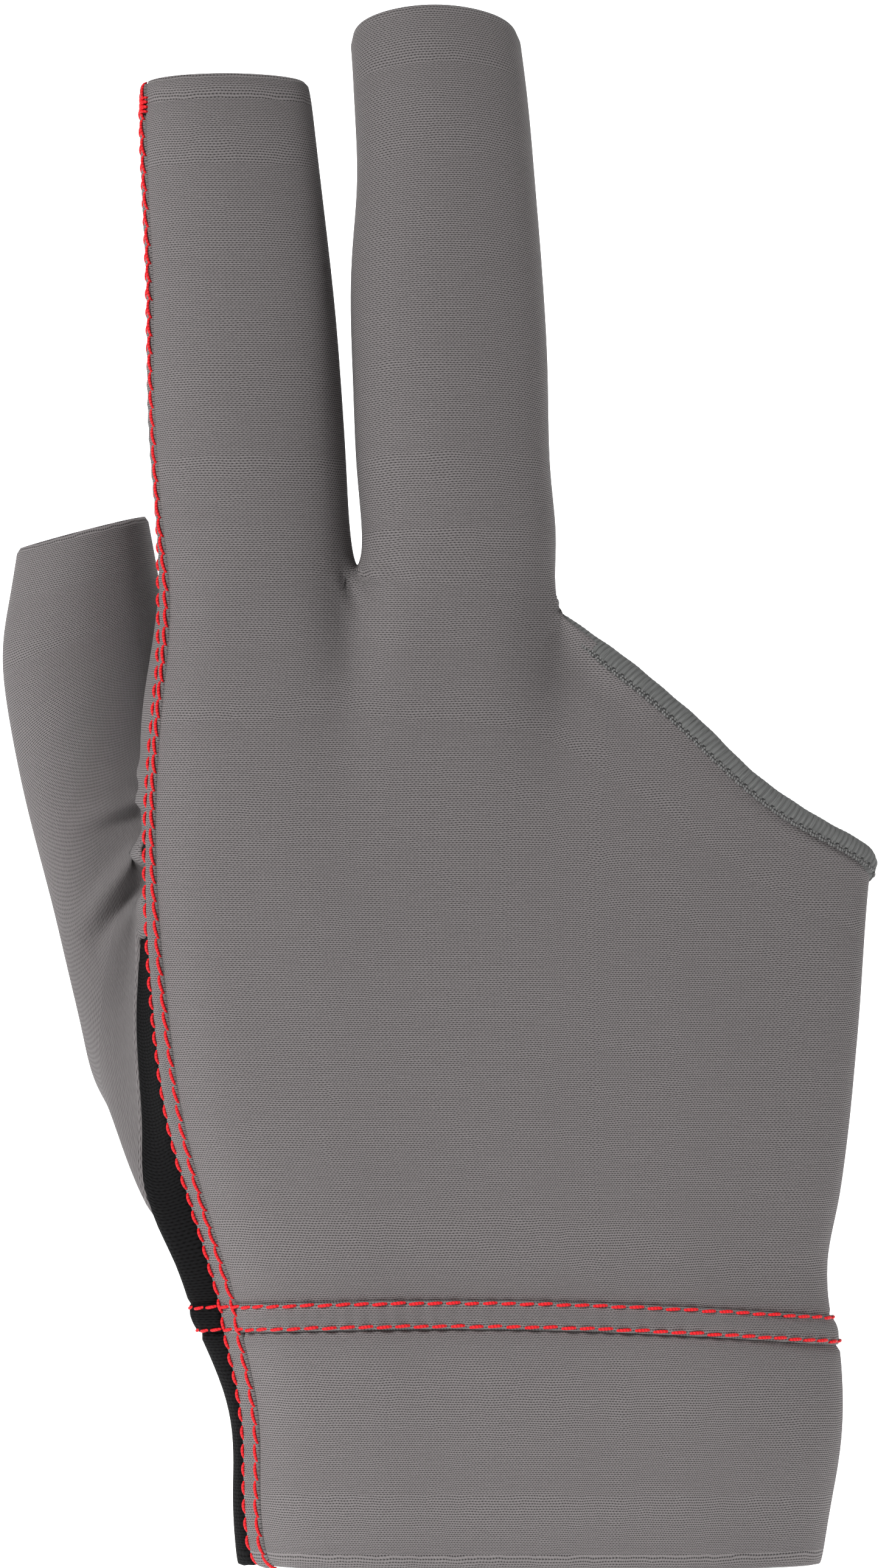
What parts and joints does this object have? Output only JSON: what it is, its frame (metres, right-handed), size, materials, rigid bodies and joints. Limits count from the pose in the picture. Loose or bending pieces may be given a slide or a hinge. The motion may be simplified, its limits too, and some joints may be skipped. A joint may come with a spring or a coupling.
{
  "type": "billiard glove",
  "caption": "Stretch-knit billiard glove for the right hand: open thumb, index and middle sleeves, a bound opening for the other fingers, and a topstitched wrist band.",
  "frame": {"origin": "middle of the wrist opening, in the plane of the cuff's hem", "axes": "+Z from the wrist to the fingertips, -Y out of the back of the hand, +X away from the thumb"},
  "size_m": [0.1201, 0.0416, 0.2138],
  "materials": {
    "back_panel": "matt warm grey stretch knit",
    "palm_panel": "matt black knit",
    "thumb_sleeve": "matt warm grey stretch knit",
    "cuff_back": "matt warm grey stretch knit, folded double",
    "cuff_palm": "matt black knit, folded double",
    "side_seam": "matt warm grey knit between two rows of red topstitching",
    "cuff_seam_back": "matt warm grey knit between two rows of red topstitching",
    "cuff_seam_palm": "matt black knit between two rows of red topstitching",
    "opening_binding": "overlocked grey thread over a rolled edge"
  },
  "bodies": {
    "root": {"back_panel": "back_panel", "palm_panel": "palm_panel", "thumb_sleeve": "thumb_sleeve", "cuff_back": "cuff_back", "cuff_palm": "cuff_palm", "side_seam": "side_seam", "cuff_seam_back": "cuff_seam_back", "cuff_seam_palm": "cuff_seam_palm", "opening_binding": "opening_binding"}
  },
  "joints": []
}
